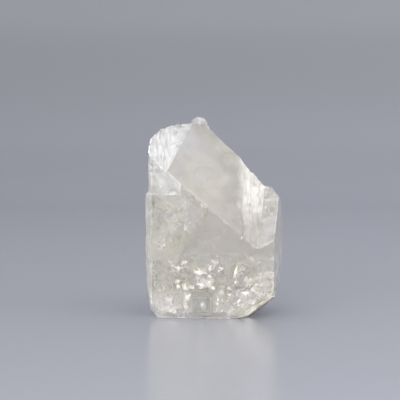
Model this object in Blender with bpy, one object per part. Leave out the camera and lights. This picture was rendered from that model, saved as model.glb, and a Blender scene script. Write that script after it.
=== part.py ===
"""A rough topaz crystal, standing on the flat cleavage that broke it from its root.

A short prism carries one large sloping end face. A smaller individual grew beside it in parallel, so the
two meet in a valley at the right. The upper left corner is broken away in a scoop, a shallow ledge runs
round the left side, and a slab is missing from the upper back. The crystal is cut from a block, one facet
at a time.

Lengths are in millimetres until the finished mesh is scaled to metres.
X runs to the right and Y to the back, as seen from the front. Z is the long axis of the prism.
"""

import math

import bmesh
import bpy
from mathutils import Vector, noise

MM = 0.001

# The block that the facets are cut from, how far its middle is lifted, the distance below which corners
# merge, how far waste stands outside a facet at least, and a point well inside the crystal.
BLOCK_SIDE = 60.0
BLOCK_LIFT = 15.0
WELD = 0.01
SAWN_CLEAR = 0.001
HEART = Vector((0.0, 0.0, 9.0))

# Corners of the crystal, named for where they sit.
BASE = Vector((0.0, 0.0, 0.0))
APEX = Vector((-1.5, 2.0, 29.2))
RIDGE_END = Vector((7.45, -0.55, 20.0))
RIDGE_BACK = Vector((4.85, 3.45, 17.3))
TOP_LEFT = Vector((-7.5, 1.5, 28.4))
CORNER_LEFT = Vector((-9.1, -1.2, 27.4))
BREAK_TIP = Vector((-7.2, -6.1, 22.1))
BREAK_LEFT = Vector((-9.9, -5.8, 24.3))
BREAK_CREST = Vector((-3.9, 0.0, 28.1))
BREAK_BACK = Vector((-5.0, 4.2, 28.8))
VALLEY_TIP = Vector((6.5, -7.9, 10.75))
VALLEY_HEAD = Vector((7.9, -0.56, 19.65))
SHOULDER_FOOT = Vector((8.85, -8.2, 12.1))
SHOULDER_TOP = Vector((9.2, -1.9, 19.1))
SHOULDER_EDGE = Vector((9.9, -3.3, 18.2))
SHOULDER_BACK = Vector((10.4, 0.0, 17.3))
CHAMFER_TOP = Vector((9.0, -8.25, 4.5))
CHAMFER_FOOT = Vector((4.1, -7.6, 0.6))
CHAMFER_UNDER = Vector((5.5, -4.7, 0.0))
OVERHANG_MIDDLE = Vector((7.35, -4.7, 1.2))
TAPER_TOP = Vector((10.6, 0.0, 9.2))
TAPER_FOOT = Vector((9.9, -1.0, 2.7))
LEFT_TAPER_TOP = Vector((-10.4, -5.0, 6.8))
LEFT_TAPER_FOOT = Vector((-9.85, -4.0, 2.0))
LEDGE_FRONT = Vector((-8.1, -6.0, 18.8))
LEDGE_END = Vector((-5.0, -6.4, 18.8))
LEDGE_CORNER = Vector((-9.5, -5.38, 18.8))
LEDGE_LEFT = Vector((-9.95, -5.4, 18.8))

# Distances from the long axis to the prism faces, measured square to each face.
FRONT_REACH = 7.0
RIGHT_REACH = 10.4
BACK_REACH = 7.4
LEFT_REACH = 9.45
BACK_RIGHT_REACH = 8.8
BACK_LEFT_REACH = 9.2
FRONT_LEFT_REACH = 10.65

# Bearings in degrees, counter-clockwise from the right-hand side, so the front is -90.
FRONT_BEARING = -97.5
RIGHT_BEARING = -11.0
BACK_BEARING = 82.5
LEFT_BEARING = 171.0
BACK_RIGHT_BEARING = 38.0
BACK_LEFT_BEARING = 132.0
FRONT_LEFT_BEARING = -132.0

# Broken and worn facets, each as a bearing and a rise above the horizontal.
APEX_FACET = (165.0, 84.0)
BREAK_BACK_FACET = (125.0, 35.0)
TOP_LEFT_FACET = (150.0, 47.0)
CORNER_LEFT_FACET = (172.0, 38.0)
OVERHANG_FACET = (5.0, -49.0)
UNDERCUT_FACET = (5.0, -59.0)
LEFT_TAPER_FACET = (-172.0, -7.0)
LEFT_FOOT_FACET = (-170.0, -24.0)
BACK_CHIP_FACET = (70.0, -35.0)

# How far the recessed faces above the ledge are turned from the faces below it, and the rise of its floor.
LEDGE_TURN = 5.0
LEDGE_RISE = 86.0

# The step on the back, where a slab has split off, and the chip below it.
TERRACE_END = Vector((3.4, 7.0, 13.5))
TERRACE_RISE = 85.0
TERRACE_TURN = 13.0
BACK_CHIP = Vector((2.0, 7.1, 3.0))

# The lump of broken crystal left on the apex.
LUMP_CENTRE = Vector((-2.35, 1.8, 29.3))
LUMP_HALF_SIZE = Vector((1.05, 0.95, 0.7))
LUMP_ROUGHNESS = 0.35
LUMP_GRAIN = 1.7
LUMP_SEED = Vector((7.3, 0.0, 0.0))

TOPAZ_COLOUR = (0.80, 0.79, 0.75, 1.0)
TOPAZ_ROUGHNESS = 0.15
TOPAZ_IOR = 1.62
TOPAZ_CLARITY = 0.9


def clear_scene():
    for obj in list(bpy.data.objects):
        bpy.data.objects.remove(obj, do_unlink=True)


def topaz_material():
    material = bpy.data.materials.new("topaz")
    material.use_nodes = True
    shader = material.node_tree.nodes["Principled BSDF"]
    shader.inputs["Base Color"].default_value = TOPAZ_COLOUR
    shader.inputs["Roughness"].default_value = TOPAZ_ROUGHNESS
    shader.inputs["Metallic"].default_value = 0.0
    shader.inputs["IOR"].default_value = TOPAZ_IOR
    shader.inputs["Transmission Weight"].default_value = TOPAZ_CLARITY
    return material


def direction(bearing, rise):
    """The unit vector with this compass bearing and this angle above the horizontal, in degrees."""
    turn, lift = math.radians(bearing), math.radians(rise)
    return Vector((math.cos(lift) * math.cos(turn), math.cos(lift) * math.sin(turn), math.sin(lift)))


def facing(bearing, rise, through):
    """A facet that looks along this bearing and rise and passes through a point."""
    return through, direction(bearing, rise)


def upright(bearing, reach):
    """A face of the prism, this far from the long axis."""
    outward = direction(bearing, 0.0)
    return outward * reach, outward


def across(first, second, third):
    """The facet through three corners, looking away from the heart of the crystal."""
    normal = (second - first).cross(third - first).normalized()
    if normal.dot(first - HEART) < 0.0:
        normal.negate()
    return first, normal


def height_over(point, facet):
    """How far a point stands outside a facet."""
    through, normal = facet
    return normal.dot(point - through)


def lies_on(vert, facet):
    return abs(height_over(vert.co, facet)) < 2.0 * WELD


def block():
    shape = bmesh.new()
    bmesh.ops.create_cube(shape, size=BLOCK_SIDE)
    bmesh.ops.translate(shape, vec=Vector((0.0, 0.0, BLOCK_LIFT)), verts=shape.verts[:])
    return shape


def score(shape, facet, clear=False):
    """Run a saw line round the shape where a facet meets it, and drop what lies outside if asked."""
    point, normal = facet
    bmesh.ops.bisect_plane(
        shape,
        geom=shape.verts[:] + shape.edges[:] + shape.faces[:],
        dist=WELD,
        plane_co=point,
        plane_no=normal,
        clear_outer=clear,
    )
    bmesh.ops.remove_doubles(shape, verts=shape.verts[:], dist=WELD)


def close_on(shape, facet):
    """Close the open rim that lies on a facet."""
    rim = [edge for edge in shape.edges if len(edge.link_faces) < 2]
    rim = [edge for edge in rim if all(lies_on(vert, facet) for vert in edge.verts)]
    bmesh.ops.contextual_create(shape, geom=rim)


def cut(shape, facet):
    """Saw off what lies outside a facet."""
    score(shape, facet, clear=True)
    close_on(shape, facet)


def carve(shape, first, second):
    """Take away what lies outside two facets at once, so that they meet in a crease."""
    score(shape, first)
    score(shape, second)
    waste = [
        face
        for face in shape.faces
        if min(height_over(face.calc_center_median(), facet) for facet in (first, second)) > SAWN_CLEAR
    ]
    bmesh.ops.delete(shape, geom=waste, context="FACES")
    rim = {vert for edge in shape.edges if edge.is_boundary for vert in edge.verts}
    crease = [vert for vert in rim if lies_on(vert, first) and lies_on(vert, second)]
    shape.edges.new(crease)
    close_on(shape, first)
    close_on(shape, second)


def outline_middle(shape):
    """The middle of the shape's outline, seen from above."""
    lows = [min(vert.co[axis] for vert in shape.verts) for axis in (0, 1)]
    highs = [max(vert.co[axis] for vert in shape.verts) for axis in (0, 1)]
    return Vector(((lows[0] + highs[0]) / 2.0, (lows[1] + highs[1]) / 2.0, 0.0))


def object_from(shape, name, middle):
    """Put a shape in the scene, in metres, with the middle of the crystal's outline over the origin."""
    bmesh.ops.recalc_face_normals(shape, faces=shape.faces[:])
    bmesh.ops.translate(shape, vec=-middle, verts=shape.verts[:])
    bmesh.ops.scale(shape, vec=Vector((MM, MM, MM)), verts=shape.verts[:])
    mesh = bpy.data.meshes.new(name)
    shape.to_mesh(mesh)
    shape.free()
    obj = bpy.data.objects.new(name, mesh)
    bpy.context.scene.collection.objects.link(obj)
    return obj


def prism_facets():
    return [
        facing(0.0, -90.0, BASE),
        upright(FRONT_BEARING, FRONT_REACH),
        upright(RIGHT_BEARING, RIGHT_REACH),
        upright(BACK_BEARING, BACK_REACH),
        upright(LEFT_BEARING, LEFT_REACH),
        upright(BACK_RIGHT_BEARING, BACK_RIGHT_REACH),
        upright(BACK_LEFT_BEARING, BACK_LEFT_REACH),
        upright(FRONT_LEFT_BEARING, FRONT_LEFT_REACH),
    ]


def end_facets():
    """The faces behind the ridge, which close the top of the crystal."""
    return [
        across(APEX, RIDGE_END, RIDGE_BACK),
        facing(*APEX_FACET, APEX),
        facing(*BREAK_BACK_FACET, BREAK_BACK),
        facing(*TOP_LEFT_FACET, TOP_LEFT),
        facing(*CORNER_LEFT_FACET, CORNER_LEFT),
        across(SHOULDER_TOP, SHOULDER_EDGE, SHOULDER_BACK),
    ]


def foot_facets():
    """The worn and broken corners round the base."""
    return [
        across(TAPER_TOP, CHAMFER_TOP, TAPER_FOOT),
        across(CHAMFER_TOP, CHAMFER_FOOT, CHAMFER_UNDER),
        facing(*OVERHANG_FACET, OVERHANG_MIDDLE),
        facing(*UNDERCUT_FACET, CHAMFER_UNDER),
        facing(*LEFT_TAPER_FACET, LEFT_TAPER_TOP),
        facing(*LEFT_FOOT_FACET, LEFT_TAPER_FOOT),
        facing(*BACK_CHIP_FACET, BACK_CHIP),
    ]


def slope():
    """The large end face, from the left side down to the valley."""
    return across(BREAK_TIP, VALLEY_TIP, APEX)


def carve_valley(shape):
    """The shoulder face rises again to the right of the valley."""
    shoulder = across(VALLEY_TIP, SHOULDER_FOOT, VALLEY_HEAD)
    carve(shape, slope(), shoulder)


def carve_scoop(shape):
    """The broken corner: a floor that rises to the left, and a wall below the edge of the large end face."""
    floor = across(BREAK_LEFT, BREAK_TIP, BREAK_BACK)
    wall = across(BREAK_TIP, BREAK_CREST, BREAK_BACK)
    carve(shape, floor, wall)


def carve_back_terrace(shape):
    """A slab is missing from the upper back, down to a step along the cleavage."""
    floor = facing(BACK_BEARING, TERRACE_RISE, TERRACE_END)
    wall = facing(BACK_BEARING + TERRACE_TURN, 0.0, TERRACE_END)
    carve(shape, floor, wall)


def carve_ledge(shape):
    """The upper left side stands back from the lower one, above a shallow ledge."""
    floor = facing(FRONT_BEARING, LEDGE_RISE, LEDGE_FRONT)
    front = facing(FRONT_BEARING - LEDGE_TURN, 0.0, LEDGE_END)
    corner = facing(FRONT_LEFT_BEARING, 0.0, LEDGE_CORNER)
    left = facing(LEFT_BEARING + LEDGE_TURN, 0.0, LEDGE_LEFT)
    for wall in (front, corner, left):
        carve(shape, floor, wall)


def lump_shape():
    """A small uneven lump of crystal that stayed on the apex."""
    shape = bmesh.new()
    bmesh.ops.create_icosphere(shape, subdivisions=2, radius=1.0)
    for vert in shape.verts:
        vert.co *= 1.0 + LUMP_ROUGHNESS * noise.noise(vert.co * LUMP_GRAIN + LUMP_SEED)
    bmesh.ops.scale(shape, vec=LUMP_HALF_SIZE, verts=shape.verts[:])
    bmesh.ops.translate(shape, vec=LUMP_CENTRE, verts=shape.verts[:])
    return shape


def crystal_shape():
    shape = block()
    for facet in prism_facets() + end_facets() + foot_facets():
        cut(shape, facet)
    carve_valley(shape)
    carve_scoop(shape)
    carve_ledge(shape)
    carve_back_terrace(shape)
    return shape


def join(obj, other):
    """Make one solid of two that overlap, and keep the second only as a guide."""
    modifier = obj.modifiers.new(other.name, "BOOLEAN")
    modifier.operation = "UNION"
    modifier.solver = "EXACT"
    modifier.object = other
    other.hide_render = True
    other.display_type = "WIRE"


def main():
    clear_scene()
    shape = crystal_shape()
    middle = outline_middle(shape)
    crystal = object_from(shape, "topaz_crystal", middle)
    crystal.data.materials.append(topaz_material())
    join(crystal, object_from(lump_shape(), "apex_lump", middle))


main()
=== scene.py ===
"""The look of a rough topaz crystal: etched, striated and broken faces, with cracks and veils sealed inside.

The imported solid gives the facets. A copy of it is refined and worked over face by face, and what shows
through the faces is modelled where it sits in the crystal. Shapes are worked in millimetres, in the frame of
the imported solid, and are scaled to metres when they are finished. Bearings and other angles are in degrees.
"""

import math
import random

import bmesh
import bpy
from mathutils import Matrix, Vector, kdtree, noise


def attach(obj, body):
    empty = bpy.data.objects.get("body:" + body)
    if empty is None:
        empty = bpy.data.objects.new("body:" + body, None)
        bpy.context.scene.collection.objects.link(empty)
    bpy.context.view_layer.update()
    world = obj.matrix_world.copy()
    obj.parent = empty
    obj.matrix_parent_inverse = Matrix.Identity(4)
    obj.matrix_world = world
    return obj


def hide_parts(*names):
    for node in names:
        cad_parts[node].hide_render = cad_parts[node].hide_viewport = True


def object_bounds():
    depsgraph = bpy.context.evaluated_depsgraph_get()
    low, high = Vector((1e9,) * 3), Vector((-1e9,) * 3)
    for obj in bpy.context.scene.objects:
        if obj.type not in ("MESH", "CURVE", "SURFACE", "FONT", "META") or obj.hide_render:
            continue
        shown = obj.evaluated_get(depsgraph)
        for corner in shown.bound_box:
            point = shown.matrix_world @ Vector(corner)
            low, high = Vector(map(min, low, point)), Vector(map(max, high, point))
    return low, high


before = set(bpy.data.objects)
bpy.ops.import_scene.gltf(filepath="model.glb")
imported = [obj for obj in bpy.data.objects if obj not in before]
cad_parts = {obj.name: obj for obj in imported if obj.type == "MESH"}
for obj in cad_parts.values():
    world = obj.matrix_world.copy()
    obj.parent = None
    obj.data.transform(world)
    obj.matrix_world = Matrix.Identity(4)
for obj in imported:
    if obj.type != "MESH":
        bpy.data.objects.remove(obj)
CAD_BOX = [list(corner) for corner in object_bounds()]

MM = 0.001
BODY = "root"
NODE = "topaz_crystal"

# How the photograph was taken: a long lens, a little above the table.
CAMERA_TARGET = Vector((-2.255, 0.077, 17.28))
CAMERA_DISTANCE = 256.7
CAMERA_BEARING = -90.0
CAMERA_RISE = 5.5
CAMERA_LENS = 150.0

# Vertices this close are one, and triangles whose angle is this small belong to one facet.
WELD = 0.002
FLAT_ANGLE = 0.4

# The copy is sliced into cells of this size, and its edges that are longer than FINEST are halved again
# and again.
CELL = 2.6
FINEST = 0.24
HALVINGS = 4

# Edges sharper than this stay sharp when the surface is shaded.
SHADING_ANGLE = 20.0

# The crystal's faces: the bearing and the rise that each one looks along, its finish, and how strongly it
# shows fine upright lines, which the slope does in its band only. Bearings run counter-clockwise from the
# right-hand side, so the front is -90.
FACES = {
    "front": (-97.5, 0, "lustrous", 0.15),
    "front_recess": (-102.5, 0, "hazy", 0.15),
    "slope": (-64, 33.9, "satin", 0),
    "shoulder": (-123.5, 37.8, "bright", 0.2),
    "scoop_floor": (-48, 42.7, "broken", 0.8),
    "scoop_wall": (-156.9, 42.1, "broken", 0.8),
    "left": (171, 0, "striated", 0.5),
    "left_recess": (176, 0, "striated", 0.5),
    "margin": (-132, 0, "bright", 0.5),
    "right": (-11, 0, "bright", 0.3),
    "right_taper": (-8.3, -4.8, "bright", 0),
    "ridge_back": (47.7, 24.2, "striated", 0.5),
    "back": (82.5, 0, "striated", 0.5),
    "terrace": (95.5, 0, "striated", 0.5),
    "terrace_step": (82.5, 85, "broken", 0),
    "back_left": (132, 0, "striated", 0.5),
    "back_right": (38, 0, "striated", 0.5),
    "back_chip": (70, -35, "broken", 0),
    "chamfer": (-37.6, -47.7, "ground", 0),
    "overhang": (5, -49, "ground", 0),
    "undercut": (5, -59, "ground", 0),
    "left_foot": (-170, -24, "broken", 0),
    "left_taper": (-172, -7, "ground", 0),
    "crest_back": (125, 35, "broken", 0),
    "crest_left": (150, 47, "broken", 0),
    "crest_corner": (172, 38, "broken", 0),
    "crest": (165, 84, "broken", 0),
    "ledge": (-97.5, 86, "broken", 0),
    "shoulder_corner": (2.4, 35.4, "etched", 0),
    "base": (0, -90, "cleaved", 0),
}

# A facet has a name if it looks within this angle of that direction and is larger than this. The others,
# most of them on the small lump on top, go by one name, which is the last.
SAME_FACE = 3.0
SMALLEST_FACE = 1.0
UNNAMED = "lump"
NAMES = [*FACES, UNNAMED]

# How each kind of surface is finished: how milky it is, how rough, how deep its fine relief is, and how warm
# its tone is.
FINISH_PARTS = ("haze", "rough", "relief", "warmth")
FINISHES = {
    "lustrous": (0.15, 0.05, 0.10, 0.6),
    "bright": (0.32, 0.08, 0.20, 0.4),
    "hazy": (0.34, 0.25, 0.3, 0.3),
    "satin": (0.22, 0.36, 0.5, 1.0),
    "striated": (0.19, 0.08, 0.5, 0.0),
    "etched": (0.35, 0.32, 0.5, 0.5),
    "broken": (0.52, 0.28, 0.6, 0.0),
    "ground": (0.06, 0.32, 0.3, 0.0),
    "cleaved": (0.90, 0.15, 0.2, 0.3),
}
FINISH_OF = {name: finish for name, (_, _, finish, _) in FACES.items()}
FINISH_OF[UNNAMED] = "bright"
STRIAE_OF = {name: striae for name, (_, _, _, striae) in FACES.items()}

# Layers of relief. Waves and crests: height, how fine they are along X, Y and Z, and their place in the
# noise. Patches: the noise at which they begin and are whole, and the same two. Pits: size, depth and place.
PRISM_ROLLS = (0.035, (0.3, 0.3, 0.22), 3.0)
PRISM_STRIAE = (0.012, (2.4, 2.4, 0.10), 8.0)
FRONT_PATCHES = (0.15, 0.45, (0.35, 0.35, 0.35), 21.0)
FRONT_PITS = (1.1, 0.05, 0.0)
SHOULDER_PATCHES = (0.0, 0.3, (0.5, 0.5, 0.5), 23.0)
SHOULDER_PITS = (0.9, 0.05, 2.0)
MOTTLE = (0.05, (0.5, 0.5, 0.5), 5.0)
FINE_MOTTLE = (0.03, (1.6, 1.6, 1.6), 6.0)
SLOPE_PATCHES = (0.05, 0.30, (0.4, 0.4, 0.4), 7.0)
SLOPE_PITS = (0.9, 0.12, 6.0)
BAND_WANDER = (0.35, (0.0, 0.2, 0.35), 11.0)
BAND_RIDGES = (0.35, (1.3, 0.15, 0.10), 17.0)
BAND_FINE_RIDGES = (0.25, (2.9, 0.3, 0.16), 18.0)
GROWTH_STEPS = (0.16, (0.9, 0.9, 0.12), 18.0)
FINE_GROWTH_STEPS = (0.05, (2.8, 2.8, 0.5), 19.0)
SCOOP_WANDER = (0.5, (0.4, 0.4, 0.4), 31.0)
HACKLES = (0.55, (1.4, 0.16, 0.14), 33.0)
FINE_HACKLES = (0.3, (3.2, 0.3, 0.3), 35.0)
STAIR_CRESTS = (0.2, (0.4, 0.4, 2.6), 37.0)
BACK_WAVES = (0.09, (0.9, 0.9, 0.04), 41.0)
BACK_STRIAE = (0.10, (2.6, 2.6, 0.09), 42.0)
PLATES = (0.10, 0.16, (0.24, 0.24, 0.12), 43.0)
SPLINTERS = (0.14, 0.20, (0.75, 0.75, 0.3), 44.0)
BACK_PATCHES = (0.05, 0.25, (0.2, 0.2, 0.2), 45.0)
BACK_PITS = (1.1, 0.08, 4.0)
BROKEN_WAVES = (0.09, (1.8, 1.8, 1.8), 51.0)
BASE_WANDER = (2.0, (0.3, 0.3, 0.3), 61.0)
WEAR_WAVES = (2.0, (1.1, 1.1, 1.1), 71.0)

# Crests stand this far above the middle of the noise, and a pit reaches this share of its cell.
CREST_LIFT = 0.2
PIT_REACH = 0.45

# Etch pits on the front grow thicker with each millimetre to the left of this place.
PITTING_START = -4.0
PITTING_GAIN = 0.06

# The ledge across the small crystal's end face.
SHOULDER_LEDGE = 12.5
LEDGE_STEP = 0.16
LEDGE_EDGE = (-0.12, 0.12)

# The ridged band of the slope, and how far its ridges lie below the face.
BAND_START = 3.7
BAND_EDGE = (0.0, 0.7)
BAND_SINK = 0.12

# The stairs of the scooped break, and how far all of it lies below the face.
STAIRS_EDGE = (-6.6, -5.4)
STAIR_HEIGHT = 0.7
STAIRS_PER_MM = 1.1
STAIR_SOFTNESS = 0.12
STAIR_WANDER = 1.6
SCOOP_SINK = 0.15

# How deep the plates and splinters that spalled off the back left it.
PLATE_DEPTH = 0.20
SPLINTER_DEPTH = 0.12

# Shell-shaped hollows of the broken faces.
SHELLS_PER_MM = 0.9
SHELL_DEPTH = 0.22
SHELL_PLACE = Vector((9.0, 2.0, 5.0))

# The steps of the cleaved base, and which way they follow each other.
BASE_STEP = 0.05
BASE_RUN = (0.6, 0.4)
BASE_STEPS_PER_MM = 0.35
BASE_SOFTNESS = 0.03

# Swellings: middle, reach and height. On the ridge, where the knob joins it, and the knob itself.
BULGES = [
    ((3.4, 0.6, 23.9), 2, 0.24),
    ((6.2, -0.1, 21.1), 0.9, 0.12),
    ((-1.2, 1.9, 28.8), 0.8, 0.35),
]

# Wear along the edges, and the least share of it.
EDGE_WEAR = 0.05
LEAST_WEAR = 0.25

# Chips are bitten out of edges that are at least this long and this sharp. A chip's depth is a share of its
# radius.
LONG_EDGE = 1.5
SHARP_EDGE = 15.0
CHIPS_PER_MM = 0.8
CHIP_RADII = (0.2, 1.0)
CHIP_DEPTHS = (0.10, 0.30)
CHIP_SEED = 5

# How milky worn edges, the edges of the base and chips are.
WORN_MILK = 0.15
BASE_EDGE_MILK = 0.45
CHIP_MILK = 0.35

# White streaks in the slope's band. Their edge is measured from the band's start.
STREAK_EDGE = (-0.4, 1.0)
STREAK_WANDER = (0.6, (0.0, 0.3, 0.5), 11.0)
STREAK_RISE = (13.0, 18.0)
STREAK_MILK = 0.05
HIGH_STREAK_MILK = 0.36

# Fine lines in the same band, and how much of the satin relief they take the place of.
BAND_LINES_EDGE = (-1.6, 0.8)
BAND_LINES_SHARE = 0.8

# Bruises of the foot, with more towards the left corner and less in a window over the hollow.
FOOT_BRUISE = 0.05
FOOT_BRUISES = (0.16, (1.6, 1.6, 1.0), 93.0)
FOOT_FADE = (5.5, 1.5)
CORNER_BRUISE = 0.12
CORNER_EDGE = (-4.0, -8.0)
WINDOW_SIDE = (2.0, 1.3)
WINDOW_TOP = (3.9, 3.2)
WINDOW_CLEARING = 0.5

# Bruises of the recess.
RECESS_BRUISES = (0.6, (1.3, 1.3, 0.7), 97.0)
RECESS_CLEARING = 0.02
RECESS_RISE = (19.0, 21.5)

# The base clears the floor by this much, so that the two don't lie in one plane.
FLOOR_GAP = 0.03

# What is sealed in the crystal stays this far behind these faces, and the veils a little further.
SEAL_DEPTH = 0.3
VEIL_DEPTH = 0.7
SEALING_FACES = (
    "front", "slope", "left", "margin", "right", "right_taper", "ridge_back", "back", "terrace", "back_left",
    "back_right", "back_chip", "chamfer", "overhang", "undercut", "left_foot", "base",
)

# A crack's sheet: its rings, the ripples of its rim, and those of its bowl, as a share of the bowl.
RING_INSET = 0.30
RIM_SCALE = 1.4
RIM_FINER = 3.0
BOWL_SCALE = 2.5
BOWL_RIPPLE = 0.4
CRACK_THICKNESS = 0.02

# Cracks that stand out through the front: place (with its depth behind the front face in the middle), width,
# height, bearing and rise they face, roll, bowl. The last two are pale sheets behind the chamfer: painted
# light, for the light that comes out through it.
BRIGHT_CRACKS = [
    ((-2, 0.9, 7.1), 2.5, 1, -99, 13, 0, 0.16),
    ((-1.6, 0.8, 5.3), 2.3, 1.7, -101, 10, 10, 0.16),
    ((-2.5, 1.2, 6.1), 1.1, 0.7, -97, 12, 60, 0.20),
    ((-0.5, 1, 4.6), 1, 0.8, -103, 8, 25, 0.20),
    ((-4.3, 0.4, 4.3), 1, 1.9, -100.5, 8, 4, 0.10),
    ((-4.2, 0.5, 2.9), 0.9, 2, -100, 7.5, -6, 0.10),
    ((-4.4, 0.4, 1.5), 0.9, 1.7, -100.5, 8, 8, 0.10),
    ((-3.6, 0.9, 4.9), 1.1, 0.9, -98, 12, 0, 0.20),
    ((0.4, 0.7, 2.2), 0.6, 2.2, -101, 10, -6, 0.12),
    ((1, 0.9, 4), 0.9, 1, -99, 12, -30, 0.20),
    ((-7.4, 0.8, 1.4), 1.8, 1, -100, 11, 10, 0.20),
    ((-8.2, 0.4, 2.3), 1, 1.6, -101, 10, 20, 0.20),
    ((-6.4, 0.5, 1.1), 1.7, 1, -99, 12, 0, 0.20),
    ((-7, 0.5, 2.6), 1.5, 1.1, -101, 9, -25, 0.20),
    ((-8, 0.4, 1), 1.2, 0.9, -100, 11, 15, 0.20),
    ((-6.5, 0.8, 8), 0.8, 1.6, -100, 11, 30, 0.25),
    ((-5.6, 0.8, 7.6), 1.4, 0.8, -99, 10, -20, 0.25),
    ((-4.6, 1, 8.4), 0.9, 0.7, -102, 9, 0, 0.25),
    ((0, 0.8, 8.4), 1.2, 1.1, -100, 10, 35, 0.22),
    ((0.9, 0.9, 7.6), 0.8, 1, -98, 12, -30, 0.22),
    ((5.6, 0.6, 9), 1.1, 0.6, -100, 9, -25, 0.25),
    ((4.1, 0.8, 7.6), 0.8, 1, -99, 11, 20, 0.25),
    ((3.2, 0.9, 5.6), 0.9, 0.9, -101, 10, 0, 0.25),
    ((5, 0.7, 5.9), 1, 1.5, -100.5, 8, 10, 0.14),
    ((6.6, 0.5, 6.3), 0.8, 1.6, -100.5, 8, 5, 0.14),
    ((6.5, 0.5, 4.1), 0.9, 1.4, -100.5, 8, 5, 0.14),
    ((4.8, 0.7, 3.9), 1.4, 1.1, -100.5, 8, -15, 0.14),
    ((5.7, 0.6, 2.5), 1.4, 0.9, -100.5, 8, -15, 0.14),
    ((-7.2, 1, 16.6), 1.2, 1.2, -92, 5, 0, 0.50),
    ((-7.9, 1.7, 21.3), 0.8, 1.2, -100.5, 8, -20, 0.20),
    ((-7, 1.6, 20.3), 1.2, 0.5, -100.5, 8, 15, 0.20),
    ((-5.9, 0.9, 13.6), 0.4, 1.2, -100, 9, -15, 0.20),
    ((-4.5, 1, 13.7), 0.8, 0.7, -100, 11, 20, 0.30),
    ((-2.5, 0.8, 14.7), 0.3, 0.4, -80, 9, 0, 0.20),
    ((-6.6, 1, 11.7), 0.6, 0.9, -99, 11, 35, 0.30),
    ((-8, 1, 10.7), 1.3, 0.9, -101, 10, 30, 0.40),
    ((-7.6, 1.2, 4.6), 0.5, 1.4, -100, 10, 0, 0.20),
    ((4.1, 0.8, 12.4), 0.5, 0.6, -100, 10, 0, 0.20),
    ((5.6, 2.7, 2.8), 7, 4.5, -89, -6, 35, 0.06),
    ((7.4, 3.4, 4.4), 6, 5, -89, -6, 40, 0.06),
]
BRIGHT_SIDES = 17
BRIGHT_SEED_STEP = 3.0
BRIGHT_RAGGED = 0.75

# The same in the small crystal on the shoulder, with their full place, and the faces that they stay behind.
SHOULDER_CRACKS = [
    ((8.5, -2.3, 17.3), 1.1, 0.5, -100, 14, 10, 0.30),
    ((8, -2.6, 16), 0.5, 0.6, -95, 10, 20, 0.30),
    ((9, -3.2, 14.9), 0.4, 0.8, -97, 12, 0, 0.30),
    ((7.8, -3.6, 13.9), 0.6, 0.4, -94, 16, 0, 0.30),
    ((8.6, -4.6, 12.9), 0.5, 0.5, -98, 9, 0, 0.30),
]
SHOULDER_SIDES = 11
SHOULDER_SEED_STEP = 5.0
SHOULDER_FACES = ("front", "shoulder", "right", "ridge_back", "back_right")

# Clouds of glints: middle, spread, how many, smallest and largest size.
GLINT_CLOUDS = [
    ((-2, -4.8, 6.9), (7, 1.6, 2.6), 60, 0.15, 1.00),
    ((4.6, -5, 5), (3.6, 1.6, 4.4), 36, 0.15, 0.90),
    ((-7, -4.6, 12.6), (2.4, 1.6, 6), 26, 0.15, 0.60),
    ((-6.5, -4.6, 4.5), (3, 1.6, 4), 30, 0.15, 0.70),
    ((-2, -4.6, 2), (9, 1.6, 1.4), 44, 0.15, 0.90),
    ((8.6, -3.6, 11), (0.8, 1, 4), 14, 0.15, 0.60),
    ((0, 1, 6), (9, 4, 6), 24, 0.30, 1.20),
]
GLINT_SEED = 11

# Glints face along this bearing and rise, each given as a mean and a scatter.
GLINT_BEARING = (-100.0, 32.0)
GLINT_RISE = (11.0, 26.0)
GLINT_STRETCH = (1.0, 2.4)
GLINT_BOWL = 0.35
GLINT_SIDES = 7
GLINT_RAGGED = 0.8
GLINT_THICKNESS = 0.015
GLINT_SPAN = 90.0

# Cracks along the cleavage: place, width, depth, tilt from level and the bearing of the tilt.
CLEAVAGE_CRACKS = [
    ((0.5, -1.5, 9.3), 11, 9, 3, 90),
    ((-2.6, -3.6, 7), 6, 5, 5, 60),
    ((4.5, -2.5, 4.6), 6, 7, 4, 120),
    ((-6.5, -1, 12.4), 5, 6, 6, 20),
]
CLEAVAGE_BOWL = 0.02
CLEAVAGE_SIDES = 26
CLEAVAGE_RAGGED = 0.5
CLEAVAGE_SEED = 40.0

# Veils: place, width, height, and the bearing and rise that they face.
VEILS = [
    ((-1.5, -3.2, 8), 22, 22, -86, 12),
    ((-1, 0, 9), 22, 26, -110, -8),
    ((0, 3.6, 10), 22, 26, -75, 6),
    ((-1.5, -2.4, 2.2), 18, 5, -88, 40),
    ((-1.5, -1, 2.6), 16, 12, -90, 62),
    ((-7, -1, 10), 9, 18, -150, 15),
    ((6.6, -3.8, 3.6), 8, 9, -92, 18),
    ((7, -1.5, 4), 8, 9, -88, 30),
]
VEIL_CELLS = 36
VEIL_SEED_STEP = 5.0

# The waves and the ripples of a veil: height, and how many there are across it.
VEIL_WAVES = (1.6, 3.0)
VEIL_RIPPLES = (0.4, 9.0)

# Where the veils grow whiter and more opaque: towards the foot, and in its right corner, with the strength of
# both.
# In the corner this is painted light, for the light that comes out through the chamfer.
VEIL_FOOT_FADE = (5.0, 2.0)
VEIL_FOOT = 0.55
PAINTED_LIGHT_CORNER_SIDE = (4.5, 6.5)
PAINTED_LIGHT_CORNER_TOP = (7.5, 5.0)
VEIL_CORNER_PAINTED_LIGHT = 0.9

# The zone of painted shade, where the veils are even and painted a darker, brownish tone for a clearer part
# of
# the crystal: its level foot, where its left flank starts there, how far that leans over for each millimetre
# that it climbs, and how soft its edges are.
SHADED_ZONE_FOOT = 9.4
SHADED_ZONE_LEFT = -5.2
SHADED_ZONE_LEAN = 0.67
SHADED_ZONE_FOOT_EDGE = (-0.2, 0.3)
SHADED_ZONE_FLANK_EDGE = (-0.8, 0.8)
SHADED_ZONE_BACK_EDGE = (2.5, 1.0)

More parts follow.
